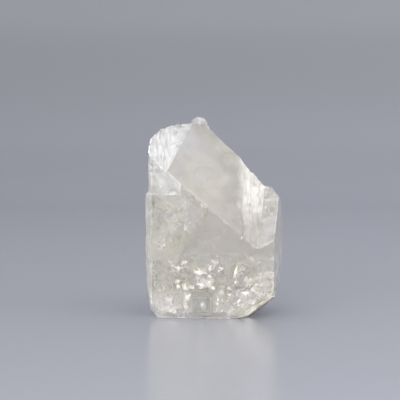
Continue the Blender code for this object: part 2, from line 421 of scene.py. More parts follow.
# A fluid-filled hollow low in the front, with a gas bubble in it. Facets larger than HOLLOW_WALL are its
# flat walls.
HOLLOW_PLACE = Vector((-1.85, -5.6, 1.8))
HOLLOW_SIZE = Vector((3.1, 1.2, 2.8))
HOLLOW_TURN = -7.5
HOLLOW_BEVEL = 0.42
HOLLOW_WALL = 1.0
BUBBLE_SIZE = Vector((1.1, 0.5, 1.4))
BUBBLE_OFFSET = Vector((0.1, -0.62, 0.0))

# A dark speck above and to the left of the hollow, and how uneven it is.
INCLUSION_PLACE = Vector((-4.65, -6.08, 5.9))
INCLUSION_SIZE = Vector((0.36, 0.2, 0.42))
INCLUSION_LUMPS = 0.5
LUMP_SCALE = 3.0

# Tones that the materials change between.
COOL_TOPAZ = (0.965, 0.97, 0.98, 1.0)
WARM_TOPAZ = (0.92, 0.895, 0.857, 1.0)
PINK_CRACK = (1.0, 0.935, 0.91, 1.0)
YELLOW_CRACK = (1.0, 0.985, 0.87, 1.0)
OLIVE_VEIL = (0.81, 0.805, 0.64, 1.0)
WHITE_VEIL = (1.0, 0.985, 0.98, 1.0)
# The next tone is painted shade: the darker, brownish tone of the veils where the crystal is clearer.
PAINTED_SHADE_TONE = (0.72, 0.66, 0.60, 1.0)
DARK_MINERAL = (0.16, 0.12, 0.09, 1.0)
BROWN_MINERAL = (0.30, 0.24, 0.19, 1.0)

# Indices of refraction.
TOPAZ_IOR = 1.62
FLUID_IOR = 1.33
STAGE_IOR = 1.6

# How much clouds, lines and specks change the milkiness of the surface, and how deep its etching, its lines
# and the ripples of its cracks are.
CLOUD_SWING = 1.3
LINE_SWING = 1.6
SPECK_MILK = 0.7
ETCHING_DEPTH = 0.03
LINING_DEPTH = 0.06
RIPPLE_DEPTH = 0.10

# Noise in a material swings round this value.
MIDDLE = 0.5

# How opaque a veil is in the zone of painted shade.
SHADED_ZONE_ALPHA = 0.42

# How clear the fluid is through the hollow's flat walls, and how much less clear it is round its rim.
FLUID_CLEARNESS = 0.85
RIM_CLOUDING = 0.75

# The backdrop's colour at its palest, and its painted shade up the wall: share of WALL_SPAN, brightness.
# Through the picture the shade stands in for how the light falls off over the sweep; above the picture the
# wall is pale, as in a light tent.
STAGE_COLOUR = (0.83, 0.86, 0.96)
WALL_SPAN = 150.0
PAINTED_WALL_SHADES = [(0.004, 0.370), (0.073, 0.310), (0.164, 0.293), (0.36, 0.279), (0.50, 0.28), (0.80, 0.92)]

# Painted shading: how the backdrop's brightness changes from its back to its front, and from the left to the
# right.
PAINTED_DEPTH_SHADES = (160.0, -60.0, 1.0, 1.06)
PAINTED_SIDE_SHADES = (-100.0, 100.0, 0.92, 1.08)

# The sweep: half its width, the ends of its floor, its curve, and how far the wall goes on above it.
SWEEP_HALF = 700.0
SWEEP_FRONT = -400.0
SWEEP_BACK = 160.0
SWEEP_RADIUS = 110.0
SWEEP_STEPS = 24
SWEEP_WALL = 320.0

# Softboxes: place, width, depth, power in watts and colour. They are turned towards LIT_MIDDLE.
SOFTBOXES = {
    "overhead_softbox": ((0.0, -20.0, 330.0), 420.0, 360.0, 0.395, (1.0, 0.985, 0.97)),
    "front_softbox": ((-190.0, -420.0, 160.0), 420.0, 280.0, 1.20, (1.0, 0.99, 0.98)),
    "right_softbox": ((240.0, -120.0, 190.0), 240.0, 200.0, 0.20, (1.0, 0.99, 0.98)),
}
LIT_MIDDLE = Vector((0.0, 0.0, 12.0))


def direction(bearing, rise):
    """The unit vector with this bearing and this angle above the horizontal."""
    turn, lift = math.radians(bearing), math.radians(rise)
    return Vector((math.cos(lift) * math.cos(turn), math.cos(lift) * math.sin(turn), math.sin(lift)))


def smooth(low, high, value):
    """0 at low, 1 at high, and a smooth change between them. Low may be the larger one."""
    share = min(max((value - low) / (high - low), 0.0), 1.0)
    return share * share * (3.0 - 2.0 * share)


# The crystal's outer surface


def facet_copy():
    """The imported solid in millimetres, with its loose triangles merged into whole facets."""
    shape = bmesh.new()
    shape.from_mesh(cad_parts[NODE].data)
    bmesh.ops.scale(shape, vec=Vector((1.0, 1.0, 1.0)) / MM, verts=shape.verts[:])
    bmesh.ops.remove_doubles(shape, verts=shape.verts[:], dist=WELD)
    bmesh.ops.dissolve_limit(
        shape, angle_limit=math.radians(FLAT_ANGLE), verts=shape.verts[:], edges=shape.edges[:]
    )
    return shape


def name_faces(shape):
    """Number every facet by its name's place in NAMES. Facets without a name of their own get -1."""
    looks = {name: direction(bearing, rise) for name, (bearing, rise, _, _) in FACES.items()}
    layer = shape.faces.layers.int.new("face")
    for face in shape.faces:
        nearest = min(looks, key=lambda name: face.normal.angle(looks[name]))
        same = face.normal.angle(looks[nearest]) < math.radians(SAME_FACE)
        face[layer] = NAMES.index(nearest) if same and face.calc_area() > SMALLEST_FACE else -1
    return layer


def facet_planes(shape, layer):
    """The plane of the largest facet of each name, as a point and the direction it looks along."""
    planes = {}
    for face in sorted(shape.faces, key=lambda face: face.calc_area()):
        if face[layer] >= 0:
            planes[NAMES[face[layer]]] = (face.calc_center_median(), face.normal.copy())
    return planes


def long_edges(shape):
    """The long, sharp edges that stand out, with the direction that points out of each."""
    found = []
    for edge in shape.edges:
        long = edge.calc_length() > LONG_EDGE
        if long and edge.is_convex and edge.calc_face_angle(0.0) > math.radians(SHARP_EDGE):
            outward = (edge.link_faces[0].normal + edge.link_faces[1].normal).normalized()
            found.append((edge.verts[0].co.copy(), edge.verts[1].co.copy(), outward))
    return found


def cut(shape, point, normal, clear_outer=False):
    """Cut the shape along a plane, and clear what lies beyond it if that is asked for."""
    whole = shape.verts[:] + shape.edges[:] + shape.faces[:]
    bmesh.ops.bisect_plane(
        shape, geom=whole, dist=WELD, plane_co=point, plane_no=normal, clear_outer=clear_outer
    )


def slice_into_cells(shape):
    low, high = (Vector(corner) / MM for corner in CAD_BOX)
    for axis in range(3):
        normal = Vector((0.0, 0.0, 0.0))
        normal[axis] = 1.0
        for step in range(1, int((high[axis] - low[axis]) / CELL) + 1):
            cut(shape, low + normal * step * CELL, normal)


def refine(shape):
    """Slice the facets into cells, then halve their long edges."""
    slice_into_cells(shape)
    bmesh.ops.triangulate(shape, faces=shape.faces[:])
    for _ in range(HALVINGS):
        long = [edge for edge in shape.edges if edge.calc_length() > FINEST]
        bmesh.ops.subdivide_edges(shape, edges=long, cuts=1)
        split = [face for face in shape.faces if len(face.verts) > 3]
        bmesh.ops.triangulate(shape, faces=split, quad_method="SHORT_EDGE", ngon_method="EAR_CLIP")


def mesh_from(shape, name):
    """A mesh in metres from a shape in millimetres."""
    bmesh.ops.scale(shape, vec=Vector((MM, MM, MM)), verts=shape.verts[:])
    mesh = bpy.data.meshes.new(name)
    shape.to_mesh(mesh)
    shape.free()
    return mesh


def add_object(name, data):
    added = bpy.data.objects.new(name, data)
    bpy.context.scene.collection.objects.link(added)
    return added


def piece_from(shape, name, material):
    """A piece of the crystal from a finished shape."""
    mesh = mesh_from(shape, name)
    mesh.materials.append(material)
    piece = add_object(name, mesh)
    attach(piece, BODY)
    return piece


def stair(value, treads, softness):
    """A staircase along a value, with this many treads to a unit and soft risers."""
    scaled = value * treads
    tread = math.floor(scaled)
    return (tread + smooth(0.5 - softness, 0.5 + softness, scaled - tread)) / treads


def rough_noise(point, scale, seed):
    return noise.noise(Vector((point.x * scale[0] + seed, point.y * scale[1], point.z * scale[2])))


def waves(point, layer):
    height, scale, seed = layer
    return height * rough_noise(point, scale, seed)


def crests(point, layer):
    """Waves with sharp crests and rounded troughs."""
    height, scale, seed = layer
    return height * (CREST_LIFT - abs(rough_noise(point, scale, seed)))


def patches(point, layer, extra=0.0):
    """1 inside scattered patches and 0 outside them, with soft edges. Any extra widens them."""
    low, high, scale, seed = layer
    return smooth(low, high, rough_noise(point, scale, seed) + extra)


def pits(point, layer):
    """Small rounded etch pits, about one to each cell of this size."""
    size, depth, seed = layer
    nearest = noise.voronoi(point / size + Vector((seed, seed, seed)))[0][0]
    return -depth * (1.0 - smooth(0.0, PIT_REACH, nearest))


def prism_relief(point):
    """Fine upright striae on a gently rolling prism face."""
    return waves(point, PRISM_ROLLS) + waves(point, PRISM_STRIAE)


def front_relief(point):
    """A prism face with patches of etch pits, most of all to the left."""
    pitted = patches(point, FRONT_PATCHES, PITTING_GAIN * (PITTING_START - point.x))
    return prism_relief(point) + pitted * pits(point, FRONT_PITS)


def shoulder_relief(point):
    """The small crystal's end face, with a ledge low across it."""
    pitted = patches(point, SHOULDER_PATCHES) * pits(point, SHOULDER_PITS)
    return prism_relief(point) + LEDGE_STEP * smooth(*LEDGE_EDGE, point.z - SHOULDER_LEDGE) + pitted


def slope_relief(point):
    """A satin growth face, with a band of broken upright ridges along the valley side."""
    satin = waves(point, MOTTLE) + waves(point, FINE_MOTTLE)
    satin += patches(point, SLOPE_PATCHES) * pits(point, SLOPE_PITS)
    wander = waves(point, BAND_WANDER)
    moved = Vector((point.x + wander, point.y, point.z))
    ridges = crests(moved, BAND_RIDGES) + crests(moved, BAND_FINE_RIDGES)
    band = smooth(*BAND_EDGE, point.x + wander / 2.0 - BAND_START)
    return satin * (1.0 - band) + band * (ridges - BAND_SINK)


def ridge_relief(point):
    """Growth steps that run down the hidden end face."""
    return crests(point, GROWTH_STEPS) + crests(point, FINE_GROWTH_STEPS) + waves(point, MOTTLE)


def scoop_relief(point):
    """A fracture: upright hackles to the left, and short level stairs to the right."""
    wander = waves(point, SCOOP_WANDER)
    hackles = crests(point, HACKLES) + crests(point, FINE_HACKLES)
    height = point.z + STAIR_WANDER * wander
    stairs = STAIR_HEIGHT * (stair(height, STAIRS_PER_MM, STAIR_SOFTNESS) - height)
    stairs += crests(point, STAIR_CRESTS)
    right = smooth(*STAIRS_EDGE, point.x + wander)
    return (1.0 - right) * hackles + right * stairs - SCOOP_SINK


def back_relief(point):
    """Upright striae, with shallow plates spalled off between them and a few patches of etch pits."""
    striae = waves(point, BACK_WAVES) + crests(point, BACK_STRIAE)
    spalled = striae - PLATE_DEPTH * patches(point, PLATES) - SPLINTER_DEPTH * patches(point, SPLINTERS)
    return spalled + patches(point, BACK_PATCHES) * pits(point, BACK_PITS)


def broken_relief(point):
    """Shell-shaped hollows that meet in sharp ridges."""
    shells = noise.voronoi(point * SHELLS_PER_MM + SHELL_PLACE)[0][0]
    return -SHELL_DEPTH * shells + waves(point, BROKEN_WAVES)


def base_relief(point):
    """A cleavage plane: flat, with a few shallow steps."""
    along = point.x * BASE_RUN[0] + point.y * BASE_RUN[1] + waves(point, BASE_WANDER)
    return -BASE_STEP * (stair(along, BASE_STEPS_PER_MM, BASE_SOFTNESS) % 1.0)


# The faces that aren't listed here are broken.
RELIEF_OF = {
    "slope": slope_relief,
    "shoulder": shoulder_relief,
    "ridge_back": ridge_relief,
    "base": base_relief,
    **dict.fromkeys(("front", "front_recess"), front_relief),
    **dict.fromkeys(("scoop_floor", "scoop_wall"), scoop_relief),
    **dict.fromkeys(("left", "left_recess", "back", "terrace", "back_left", "back_right"), back_relief),
    **dict.fromkeys(("margin", "right", "right_taper", "chamfer", "overhang", "undercut"), prism_relief),
}


def bulge(point):
    """How far the surface stands out here beyond the plain facets."""
    return sum(
        height * math.exp(-((point - Vector(middle)).length / reach) ** 2) for middle, reach, height in BULGES
    )


def edge_wear(point):
    """How much is worn off an edge here: a little everywhere, and more in places."""
    return EDGE_WEAR * (LEAST_WEAR + max(0.0, waves(point, WEAR_WAVES)))


def carve_relief(shape, layer):
    """Push every vertex in or out by the relief of the faces round it, and wear the edges."""
    shape.normal_update()
    moves = []
    for vert in shape.verts:
        here = {face[layer] for face in vert.link_faces}
        depth = sum(RELIEF_OF.get(NAMES[number], broken_relief)(vert.co) for number in here) / len(here)
        if len(here) > 1:
            depth -= edge_wear(vert.co)
        moves.append(vert.normal * (depth + bulge(vert.co)))
    for vert, move in zip(shape.verts, moves):
        vert.co += move
        vert.co.z = max(vert.co.z, FLOOR_GAP)


def bite(shape, found, place, radius, haze):
    """Push the vertices that were found out of a ball, and leave them milky."""
    for _, index, _ in found:
        vert = shape.verts[index]
        away = vert.co - place
        if 0.0 < away.length < radius:
            vert.co = place + away.normalized() * radius
            vert.co.z = max(vert.co.z, FLOOR_GAP)
            vert[haze] = max(vert[haze], CHIP_MILK)


def bite_chips(shape, edges, haze):
    """Bite shell-shaped chips out of the long edges."""
    draw = random.Random(CHIP_SEED)
    tree = kdtree.KDTree(len(shape.verts))
    for index, vert in enumerate(shape.verts):
        tree.insert(vert.co, index)
    tree.balance()
    shape.verts.ensure_lookup_table()
    smallest, largest = CHIP_RADII
    for start, end, outward in edges:
        length = (end - start).length
        for _ in range(int(length * CHIPS_PER_MM + draw.random())):
            radius = smallest + (largest - smallest) * draw.random() ** 3
            depth = radius * draw.uniform(*CHIP_DEPTHS)
            place = start.lerp(end, draw.random()) + outward * (radius - depth)
            bite(shape, tree.find_range(place, radius), place, radius, haze)


def slope_milk(point, milk):
    """The ridged band is white in upright streaks, most of all near the ridge."""
    band = smooth(*STREAK_EDGE, point.x + waves(point, STREAK_WANDER) - BAND_START)
    return milk + band * (STREAK_MILK + HIGH_STREAK_MILK * smooth(*STREAK_RISE, point.z))


def front_milk(point, milk):
    """Bruised and whiter towards the foot, and clearer over the hollow."""
    bruised = FOOT_BRUISE + waves(point, FOOT_BRUISES) + CORNER_BRUISE * smooth(*CORNER_EDGE, point.x)
    window = smooth(*WINDOW_SIDE, abs(point.x - HOLLOW_PLACE.x)) * smooth(*WINDOW_TOP, point.z)
    milk += max(bruised, 0.0) * smooth(*FOOT_FADE, point.z)
    return milk * (1.0 - WINDOW_CLEARING * window)


def recess_milk(point, milk):
    """Bruised below the scooped break."""
    bruised = waves(point, RECESS_BRUISES) - RECESS_CLEARING
    return milk + max(bruised, 0.0) * smooth(*RECESS_RISE, point.z)


MILK_OF = {
    "slope": slope_milk,
    "front": front_milk,
    "front_recess": recess_milk,
    "left_foot": front_milk,
    "margin": front_milk,
}


def milkiness(point, names, milk):
    """How milky the surface is here, where faces of these names meet, from the mean of their finishes."""
    for name, whiten in MILK_OF.items():
        if name in names:
            milk = whiten(point, milk)
    if len(names) > 1:
        milk += BASE_EDGE_MILK if "base" in names else WORN_MILK
    return milk


def fine_lines(point, names):
    """How strongly the surface shows fine upright lines here."""
    if "slope" in names:
        return smooth(*BAND_LINES_EDGE, point.x - BAND_START)
    return max((STRIAE_OF.get(name, 0.0) for name in names), default=0.0)


def paint_finish(shape, layer):
    """Give each vertex the finish of the faces round it. The layer of its milkiness is given back."""
    parts = [shape.verts.layers.float.new(name) for name in FINISH_PARTS]
    haze, _, relief, _ = parts
    striae = shape.verts.layers.float.new("striae")
    for vert in shape.verts:
        names = [NAMES[face[layer]] for face in vert.link_faces]
        finishes = [FINISHES[FINISH_OF[name]] for name in names]
        for index, part in enumerate(parts):
            vert[part] = sum(finish[index] for finish in finishes) / len(finishes)
        here = set(names) - {UNNAMED}
        vert[haze] = milkiness(vert.co, here, vert[haze])
        vert[striae] = fine_lines(vert.co, here)
        if "slope" in here:
            vert[relief] *= 1.0 - BAND_LINES_SHARE * vert[striae]
    return haze


def crystal_piece(material):
    """The outer surface. The planes of the facets it was made from are given back."""
    shape = facet_copy()
    layer = name_faces(shape)
    planes = facet_planes(shape, layer)
    edges = long_edges(shape)
    refine(shape)
    haze = paint_finish(shape, layer)
    carve_relief(shape, layer)
    bite_chips(shape, edges, haze)
    piece = piece_from(shape, "crystal_surface", material)
    piece.data.shade_smooth()
    piece.data.set_sharp_from_angle(angle=math.radians(SHADING_ANGLE))
    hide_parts(NODE)
    return planes


# What is sealed in the crystal


def trim_inside(shape, planes, names=SEALING_FACES, depth=SEAL_DEPTH):
    """Cut away whatever would come near these faces of the crystal."""
    for name in names:
        point, normal = planes[name]
        cut(shape, point - normal * depth, normal, clear_outer=True)


def turned_to(bearing, rise, roll=0.0):
    """The turn that takes +Z to this bearing and rise, and leaves +Y as the way up before it rolls."""
    turn = direction(bearing, rise).to_track_quat("Z", "Y").to_matrix().to_4x4()
    return turn @ Matrix.Rotation(math.radians(roll), 4, "Z")


def disc(shape, sides, rings):
    """The vertices of a flat round sheet, with this many rings round a fan."""
    made = bmesh.ops.create_circle(shape, cap_ends=True, segments=sides, radius=1.0)
    verts = set(made["verts"])
    face = made["verts"][0].link_faces[0]
    for _ in range(rings):
        bmesh.ops.inset_individual(shape, faces=[face], thickness=RING_INSET, use_even_offset=False)
        verts.update(face.verts)
    bmesh.ops.poke(shape, faces=[face])
    verts.update([edge.other_vert(corner) for corner in verts for edge in corner.link_edges])
    return list(verts)


def shell(shape, place, turn, width, height, bowl, seed, sides, ragged, rings=2):
    """A curved sheet of crack with an uneven rim."""
    verts = disc(shape, sides, rings)
    for vert in verts:
        around = vert.co.normalized() * RIM_SCALE + Vector((seed, seed * 0.7, 0.0))
        reach = vert.co.length
        vert.co *= 1.0 + ragged * noise.noise(around) + ragged / 2.0 * noise.noise(around * RIM_FINER)
        ripple = noise.noise(vert.co * BOWL_SCALE + around)
        vert.co.z = bowl * (1.0 - reach * reach) + BOWL_RIPPLE * bowl * ripple
    size = Matrix.Diagonal((width / 2.0, height / 2.0, height / 2.0, 1.0))
    bmesh.ops.transform(shape, matrix=Matrix.Translation(place) @ turn @ size, verts=verts)


def thicken(shape, thickness):
    bmesh.ops.recalc_face_normals(shape, faces=shape.faces[:])
    bmesh.ops.solidify(shape, geom=shape.faces[:], thickness=thickness)


def crack_sheets(cracks, sides, seed_step):
    """A shape with one sheet for each crack."""
    shape = bmesh.new()
    for number, (place, width, height, bearing, rise, roll, bowl) in enumerate(cracks):
        turn = turned_to(bearing, rise, roll)
        shell(shape, Vector(place), turn, width, height, bowl, seed_step * number, sides, BRIGHT_RAGGED)
    return shape


def behind_front(planes, crack):
    """The same crack with its full place, instead of its depth behind the front face."""
    (across, depth, up), *rest = crack
    point, normal = planes["front"]
    front = point.y - normal.x / normal.y * (across - point.x)
    return ((across, front + depth, up), *rest)


def bright_cracks(planes, material):
    """The cracks that stand out through the front and the shoulder, each at its place."""
    placed = [behind_front(planes, crack) for crack in BRIGHT_CRACKS]
    shape = crack_sheets(placed, BRIGHT_SIDES, BRIGHT_SEED_STEP)
    trim_inside(shape, planes)
    small = crack_sheets(SHOULDER_CRACKS, SHOULDER_SIDES, SHOULDER_SEED_STEP)
    trim_inside(small, planes, SHOULDER_FACES)
    spare = bpy.data.meshes.new("spare")
    small.to_mesh(spare)
    small.free()
    shape.from_mesh(spare)
    bpy.data.meshes.remove(spare)
    thicken(shape, CRACK_THICKNESS)
    piece_from(shape, "bright_cracks", material)


def glints(planes, material):
    """Small flakes of crack, scattered through the shattered parts."""
    draw = random.Random(GLINT_SEED)
    shape = bmesh.new()
    for centre, spread, count, smallest, largest in GLINT_CLOUDS:
        for _ in range(count):
            offset = Vector([draw.gauss(0.0, 0.5) * reach for reach in spread])
            turn = turned_to(draw.gauss(*GLINT_BEARING), draw.gauss(*GLINT_RISE), draw.uniform(0.0, 360.0))
            height = smallest + (largest - smallest) * draw.random() ** 2
            width = height * draw.uniform(*GLINT_STRETCH)
            seed = draw.uniform(0.0, GLINT_SPAN)
            place = Vector(centre) + offset
            shell(shape, place, turn, width, height, GLINT_BOWL, seed, GLINT_SIDES, GLINT_RAGGED, rings=0)
    trim_inside(shape, planes)
    thicken(shape, GLINT_THICKNESS)
    piece_from(shape, "glints", material)


def cleavage_cracks(planes, material):
    """Level cracks along the basal cleavage, which reach in from the outside."""
    shape = bmesh.new()
    for number, (place, width, depth, tilt, tilt_bearing) in enumerate(CLEAVAGE_CRACKS):
        turn = turned_to(tilt_bearing, 90.0 - tilt)
        seed = CLEAVAGE_SEED + number
        shell(shape, Vector(place), turn, width, depth, CLEAVAGE_BOWL, seed, CLEAVAGE_SIDES, CLEAVAGE_RAGGED)
    trim_inside(shape, planes)
    thicken(shape, CRACK_THICKNESS)
    piece_from(shape, "cleavage_cracks", material)


def shaded_zone_share(point):
    """The tent-shaped zone of painted shade behind the middle of the front, which ends level at its foot."""
    climbed = point.z - SHADED_ZONE_FOOT
    flank = SHADED_ZONE_LEFT + SHADED_ZONE_LEAN * climbed
    beside = smooth(*SHADED_ZONE_FLANK_EDGE, point.x - flank)
    return smooth(*SHADED_ZONE_FOOT_EDGE, climbed) * beside * smooth(*SHADED_ZONE_BACK_EDGE, point.y)


def foot_whitening_and_painted_light(point):
    """How much whiter and more opaque the veils are here: towards the foot, and in the lower right corner as
    painted light.
    """
    corner = smooth(*PAINTED_LIGHT_CORNER_SIDE, point.x) * smooth(*PAINTED_LIGHT_CORNER_TOP, point.z)
    return VEIL_FOOT * smooth(*VEIL_FOOT_FADE, point.z) + VEIL_CORNER_PAINTED_LIGHT * corner


def veil(shape, seed, place, width, height, bearing, rise):
    """A wavy sheet."""
    made = bmesh.ops.create_grid(shape, x_segments=VEIL_CELLS, y_segments=VEIL_CELLS, size=0.5)
    wave_height, wave_count = VEIL_WAVES
    ripple_height, ripple_count = VEIL_RIPPLES
    for vert in made["verts"]:
        wave = noise.noise(vert.co * wave_count + Vector((seed, 0.0, 0.0)))
        vert.co.z = wave_height * wave + ripple_height * noise.noise(vert.co * ripple_count)
    size = Matrix.Diagonal((width, height, 1.0, 1.0))
    move = Matrix.Translation(Vector(place)) @ turned_to(bearing, rise) @ size
    bmesh.ops.transform(shape, matrix=move, verts=made["verts"])


def veils(planes, material):
    """Healed fractures: wavy sheets of tiny droplets."""
    shape = bmesh.new()
    for number, sheet in enumerate(VEILS):
        veil(shape, number * VEIL_SEED_STEP, *sheet)
    trim_inside(shape, planes, depth=VEIL_DEPTH)
    zone_shade = shape.verts.layers.float.new("zone_shade")
    foot = shape.verts.layers.float.new("foot")
    for vert in shape.verts:
        vert[zone_shade] = shaded_zone_share(vert.co)
        vert[foot] = foot_whitening_and_painted_light(vert.co)
    piece_from(shape, "healed_veils", material)


def fluid_hollow(material):
    """A hollow with the crystal's own upright faces, filled with fluid."""
    shape = bmesh.new()
    bmesh.ops.create_cube(shape, size=1.0)
    bmesh.ops.scale(shape, vec=HOLLOW_SIZE, verts=shape.verts[:])
    bmesh.ops.bevel(
        shape, geom=shape.edges[:], offset=HOLLOW_BEVEL, offset_type="OFFSET", segments=2, profile=0.5,
        affect="EDGES", material=-1,
    )
    rim = shape.verts.layers.float.new("rim")
    for vert in shape.verts:
        vert[rim] = 0.0 if max(face.calc_area() for face in vert.link_faces) > HOLLOW_WALL else 1.0
    turn = Matrix.Rotation(math.radians(HOLLOW_TURN), 4, "Z")
    bmesh.ops.transform(shape, matrix=Matrix.Translation(HOLLOW_PLACE) @ turn, verts=shape.verts[:])
    piece_from(shape, "fluid_hollow", material)


def ball(subdivisions, lumps, size, place):
    """A ball of this size, smooth or uneven."""
    shape = bmesh.new()
    bmesh.ops.create_icosphere(shape, subdivisions=subdivisions, radius=0.5)
    for vert in shape.verts:
        vert.co *= 1.0 + lumps * noise.noise(vert.co * LUMP_SCALE)
    bmesh.ops.scale(shape, vec=size, verts=shape.verts[:])
    bmesh.ops.translate(shape, vec=place, verts=shape.verts[:])
    return shape


def gas_bubble(material):
    piece_from(ball(3, 0.0, BUBBLE_SIZE, HOLLOW_PLACE + BUBBLE_OFFSET), "gas_bubble", material)


def dark_inclusion(material):
    """A speck of another mineral beside the brightest cracks."""
    piece_from(ball(2, INCLUSION_LUMPS, INCLUSION_SIZE, INCLUSION_PLACE), "dark_inclusion", material)



# Materials


def new_material(name):
    """A material with its node tree and its shader."""
    material = bpy.data.materials.new(name)
    material.use_nodes = True
    return material, material.node_tree, material.node_tree.nodes["Principled BSDF"]


def add(tree, kind, **settings):
    node = tree.nodes.new(kind)
    for name, value in settings.items():
        setattr(node, name, value)
    return node


def feed(node, name, value):
    """Link this socket of a node to another one, or set it to a plain value."""
    if isinstance(value, bpy.types.NodeSocket):
        node.id_data.links.new(value, node.inputs[name])
    else:
        node.inputs[name].default_value = value


def attribute(tree, name):
    return add(tree, "ShaderNodeAttribute", attribute_name=name, attribute_type="GEOMETRY").outputs["Fac"]


def millimetres(tree):
    """Object coordinates in millimetres."""
    scale = add(tree, "ShaderNodeVectorMath", operation="SCALE")
    feed(scale, 0, add(tree, "ShaderNodeTexCoord").outputs["Object"])
    feed(scale, "Scale", 1.0 / MM)
    return scale.outputs["Vector"]


def math_node(tree, operation, *values, clamp=False):
    node = add(tree, "ShaderNodeMath", operation=operation, use_clamp=clamp)
    for index, value in enumerate(values):
        feed(node, index, value)
    return node.outputs["Value"]


def grain(tree, place, scale, detail=2.0, distortion=0.0):
    """Noise with this many waves to a millimetre."""
    node = add(tree, "ShaderNodeTexNoise")
    feed(node, "Vector", place)
    feed(node, "Scale", scale)
    feed(node, "Detail", detail)
    feed(node, "Distortion", distortion)
    return node.outputs["Fac"]


def remap(tree, value, low, high, to_low=0.0, to_high=1.0):
    """The value, carried over from between low and high to between to_low and to_high, and clamped there."""
    node = add(tree, "ShaderNodeMapRange")
    for index, given in enumerate((value, low, high, to_low, to_high)):
        feed(node, index, given)
    return node.outputs["Result"]


def blend(tree, share, first, second):
    """A colour between two others: the first at a share of 0, and the second at 1."""
    node = add(tree, "ShaderNodeMix", data_type="RGBA")
    feed(node, 0, share)
    feed(node, 6, first)
    feed(node, 7, second)
    return node.outputs[2]


def bump(tree, height, depth, strength):
    """A relief this many millimetres deep."""
    node = add(tree, "ShaderNodeBump")
    feed(node, "Height", height)
    feed(node, "Distance", depth * MM)
    feed(node, "Strength", strength)
    return node


def upright_lines(tree, place):
    """Noise drawn out along the crystal's length."""
    squeeze = add(tree, "ShaderNodeVectorMath", operation="MULTIPLY")
    feed(squeeze, 0, place)
    feed(squeeze, 1, (1.0, 1.0, 0.06))
    return grain(tree, squeeze.outputs["Vector"], 3.4, 3.0)


def clearness(tree, place, lines, striae):
    """How clear the surface is: its painted haze in clouds, along lines where it has them, else in specks."""
    cloud = math_node(tree, "SUBTRACT", grain(tree, place, 0.55, 4.0), MIDDLE)
    streaks = math_node(tree, "MULTIPLY", math_node(tree, "SUBTRACT", lines, MIDDLE), striae)
    plain = math_node(tree, "SUBTRACT", 1.0, striae, clamp=True)
    specks = remap(tree, grain(tree, place, 2.0), 0.60, 0.74, 0.0, SPECK_MILK)
    dots = math_node(tree, "MULTIPLY", specks, plain)
    marks = math_node(tree, "MULTIPLY_ADD", streaks, LINE_SWING, dots)
    spread = math_node(tree, "MULTIPLY_ADD", cloud, CLOUD_SWING, marks)
    swing = math_node(tree, "ADD", spread, 1.0)
    milky = math_node(tree, "MULTIPLY", attribute(tree, "haze"), swing, clamp=True)
    return math_node(tree, "SUBTRACT", 1.0, milky, clamp=True)


def topaz_material():
    """Clear topaz with a painted finish, and plain absorption inside."""
    material, tree, shader = new_material("topaz")
    place = millimetres(tree)
    lines = upright_lines(tree, place)
    striae = attribute(tree, "striae")
    etching = bump(tree, grain(tree, place, 3.0, 4.0), ETCHING_DEPTH, attribute(tree, "relief"))
    lining = bump(tree, lines, LINING_DEPTH, striae)
    feed(lining, "Normal", etching.outputs["Normal"])
    feed(shader, "Normal", lining.outputs["Normal"])
    tint = blend(tree, attribute(tree, "warmth"), COOL_TOPAZ, WARM_TOPAZ)
    feed(shader, "Base Color", tint)
    feed(shader, "Transmission Weight", clearness(tree, place, lines, striae))
    feed(shader, "Roughness", attribute(tree, "rough"))
    shader.inputs["IOR"].default_value = TOPAZ_IOR
    absorb = add(tree, "ShaderNodeVolumeAbsorption")
    absorb.inputs["Color"].default_value = (0.88, 0.83, 0.68, 1.0)
    absorb.inputs["Density"].default_value = 28.0
    feed(tree.nodes["Material Output"], "Volume", absorb.outputs["Volume"])
    return material


def crack_material():
    """Crack surfaces, silvery where they throw the light back."""
    material, tree, shader = new_material("open_crack")
    place = millimetres(tree)
    change = remap(tree, grain(tree, place, 0.35), 0.42, 0.56)
    silver = remap(tree, grain(tree, place, 0.9), 0.40, 0.60, 0.40, 0.80)
    roughness = math_node(tree, "MULTIPLY_ADD", grain(tree, place, 1.2), 0.3, 0.08)
    ripples = bump(tree, grain(tree, place, 2.2, 3.0), RIPPLE_DEPTH, 1.0)
    feed(shader, "Base Color", blend(tree, change, PINK_CRACK, YELLOW_CRACK))
    feed(shader, "Metallic", silver)
    feed(shader, "Roughness", roughness)
    feed(shader, "Normal", ripples.outputs["Normal"])
    return material


def cleavage_material():
    """Level cracks: mirror-like along their length, and mostly see-through from above."""
    material, tree, shader = new_material("cleavage_crack")
    patched = remap(tree, grain(tree, millimetres(tree), 0.45, 4.0), 0.42, 0.62, 0.05, 0.75)
    feed(shader, "Alpha", patched)
    shader.inputs["Base Color"].default_value = (0.96, 0.95, 0.93, 1.0)
    shader.inputs["Metallic"].default_value = 0.5
    shader.inputs["Roughness"].default_value = 0.12
    return material


def veil_cover(tree, place, zone_shade, foot):
    """How opaque a veil is: in wisps, more so near the foot and in the lower right corner, and even in the
    zone of painted shade.
    """
    wisps = remap(tree, grain(tree, place, 0.26, 6.0, 0.9), 0.40, 0.62, 0.06, 0.85)
    cover = add(tree, "ShaderNodeMix")
    feed(cover, 0, zone_shade)
    feed(cover, 2, math_node(tree, "ADD", wisps, foot, clamp=True))
    feed(cover, 3, SHADED_ZONE_ALPHA)
    return cover.outputs[0]


